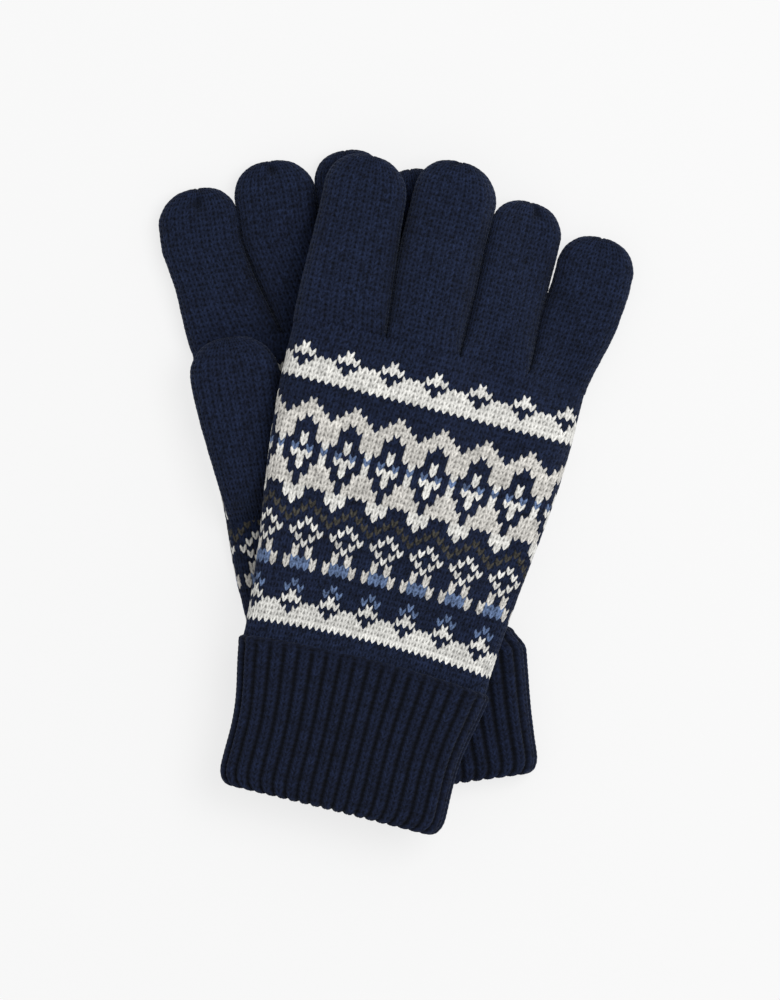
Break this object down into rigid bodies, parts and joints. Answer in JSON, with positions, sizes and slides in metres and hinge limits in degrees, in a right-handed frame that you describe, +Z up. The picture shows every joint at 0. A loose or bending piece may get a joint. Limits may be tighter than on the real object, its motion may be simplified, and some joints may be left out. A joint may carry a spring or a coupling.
{
  "type": "knitted gloves",
  "caption": "Pair of knitted wool gloves with patterned hands, plain fingers and turned-up ribbed cuffs, laid one across the other.",
  "frame": {"origin": "centre of the bounding box's bottom face, on the surface that the gloves lie on", "axes": "+Y towards the fingertips, +X to the right seen from above with the fingers away, +Z up from the surface"},
  "size_m": [0.1651, 0.2408, 0.0321],
  "materials": {
    "patterned_wool": "matte, stranded colour knitting",
    "navy_wool": "matte, plain knitting",
    "ribbed_wool": "matte, one-and-one ribbing",
    "yarn_end": "matte, twisted yarn"
  },
  "bodies": {
    "left_glove": {"left_hand": "patterned_wool", "left_cuff_lining": "ribbed_wool", "left_finger_gussets": "navy_wool"},
    "left_index": {"left_index_finger": "navy_wool", "left_index_tip_knot": "yarn_end"},
    "left_middle": {"left_middle_finger": "navy_wool", "left_middle_tip_knot": "yarn_end"},
    "left_ring": {"left_ring_finger": "navy_wool", "left_ring_tip_knot": "yarn_end"},
    "left_little": {"left_little_finger": "navy_wool", "left_little_tip_knot": "yarn_end"},
    "left_thumb_part": {"left_thumb": "navy_wool", "left_thumb_tip_knot": "yarn_end"},
    "left_cuff": {"left_cuff_turn_up": "ribbed_wool"},
    "right_glove": {"right_hand": "patterned_wool", "right_cuff_lining": "ribbed_wool", "right_finger_gussets": "navy_wool"},
    "right_index": {"right_index_finger": "navy_wool", "right_index_tip_knot": "yarn_end"},
    "right_middle": {"right_middle_finger": "navy_wool", "right_middle_tip_knot": "yarn_end"},
    "right_ring": {"right_ring_finger": "navy_wool", "right_ring_tip_knot": "yarn_end"},
    "right_little": {"right_little_finger": "navy_wool", "right_little_tip_knot": "yarn_end"},
    "right_thumb_part": {"right_thumb": "navy_wool", "right_thumb_tip_knot": "yarn_end"},
    "right_cuff": {"right_cuff_turn_up": "ribbed_wool"}
  },
  "joints": [
    {"name": "right_glove_lift", "type": "slide", "parent": "left_glove", "child": "right_glove", "axis": [0, 0, 1], "range_m": [0, 0.15]},
    {"name": "right_index_fold", "type": "hinge", "parent": "right_glove", "child": "right_index", "pos_m": [-0.01989, 0.05739, 0.03175], "axis": [0.9703, -0.2419, 0.0001], "range_deg": [0, 70]},
    {"name": "right_middle_fold", "type": "hinge", "parent": "right_glove", "child": "right_middle", "pos_m": [0.00893, 0.0502, 0.03198], "axis": [0.9683, -0.2414, -0.0635], "range_deg": [0, 70]},
    {"name": "right_ring_fold", "type": "hinge", "parent": "right_glove", "child": "right_ring", "pos_m": [0.03387, 0.04398, 0.02435], "axis": [0.9285, -0.2315, -0.2902], "range_deg": [0, 70]},
    {"name": "right_little_fold", "type": "hinge", "parent": "right_glove", "child": "right_little", "pos_m": [0.05609, 0.03844, 0.01554], "axis": [0.8907, -0.2221, -0.3967], "range_deg": [0, 70]},
    {"name": "right_thumb_drop", "type": "hinge", "parent": "right_glove", "child": "right_thumb_part", "pos_m": [-0.02064, -0.02086, 0.02011], "axis": [-0.9703, 0.2419, 0], "range_deg": [0, 45]},
    {"name": "left_index_curl", "type": "hinge", "parent": "left_glove", "child": "left_index", "pos_m": [-0.05605, 0.05286, 0.0105], "axis": [0.9903, 0.1392, 0], "range_deg": [0, 60]},
    {"name": "left_middle_curl", "type": "hinge", "parent": "left_glove", "child": "left_middle", "pos_m": [-0.02664, 0.05699, 0.0105], "axis": [0.9903, 0.1392, 0], "range_deg": [0, 60]},
    {"name": "left_ring_curl", "type": "hinge", "parent": "left_glove", "child": "left_ring", "pos_m": [-0.00119, 0.06057, 0.0105], "axis": [0.9903, 0.1392, 0], "range_deg": [0, 60]},
    {"name": "left_little_curl", "type": "hinge", "parent": "left_glove", "child": "left_little", "pos_m": [0.02149, 0.06376, 0.0105], "axis": [0.9903, 0.1392, 0], "range_deg": [0, 60]},
    {"name": "left_thumb_curl", "type": "hinge", "parent": "left_glove", "child": "left_thumb_part", "pos_m": [-0.04516, -0.02246, 0.0102], "axis": [0.9903, 0.1392, 0], "range_deg": [0, 75]},
    {"name": "right_cuff_unroll", "type": "slide", "parent": "right_glove", "child": "right_cuff", "axis": [-0.2419, -0.9703, 0], "range_m": [0, 0.045]},
    {"name": "left_cuff_unroll", "type": "slide", "parent": "left_glove", "child": "left_cuff", "axis": [0.2496, -0.9683, 0], "range_m": [0, 0.045]}
  ],
  "couplings": [
    {"joint": "right_thumb_drop", "follows": "right_glove_lift", "rad_per_m": 5.236},
    {"joint": "left_index_curl", "follows": "right_glove_lift", "rad_per_m": 6.9813},
    {"joint": "left_middle_curl", "follows": "right_glove_lift", "rad_per_m": 6.9813},
    {"joint": "left_ring_curl", "follows": "right_glove_lift", "rad_per_m": 6.9813},
    {"joint": "left_little_curl", "follows": "right_glove_lift", "rad_per_m": 6.9813},
    {"joint": "left_thumb_curl", "follows": "right_glove_lift", "rad_per_m": 8.7266}
  ]
}
